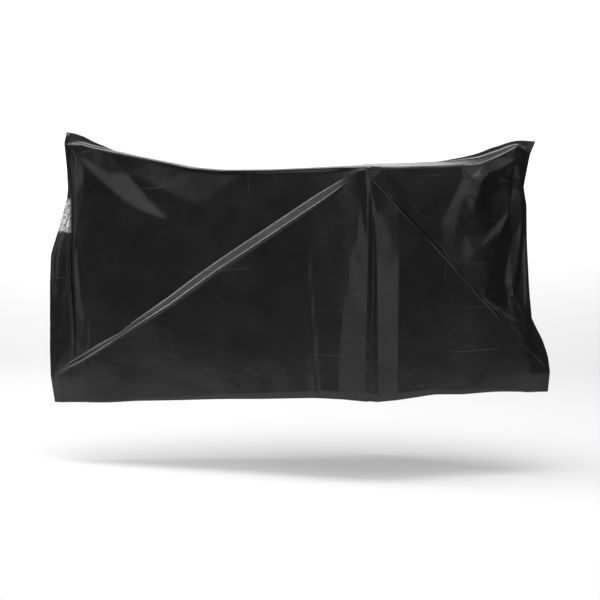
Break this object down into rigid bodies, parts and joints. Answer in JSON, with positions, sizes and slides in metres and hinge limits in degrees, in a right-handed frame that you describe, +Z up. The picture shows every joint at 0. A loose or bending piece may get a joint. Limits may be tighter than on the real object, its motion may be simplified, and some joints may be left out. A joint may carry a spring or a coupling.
{
  "type": "bicycle cover",
  "caption": "Black plastic film cover as it hangs over an upright bicycle: hollow bag with raised ears, diagonal creases from the grips and an open hem.",
  "frame": {"origin": "under the middle of the top, midway between the two handlebar grips that carry the cover", "axes": "+X along the bicycle towards its front wheel, +Y across it, away from the side that is seen first, +Z up"},
  "size_m": [1.8528, 0.5491, 1.01],
  "materials": {
    "black_film": "semi-gloss thin film, creased from storage"
  },
  "bodies": {
    "root": {"cover": "black_film"}
  },
  "joints": []
}
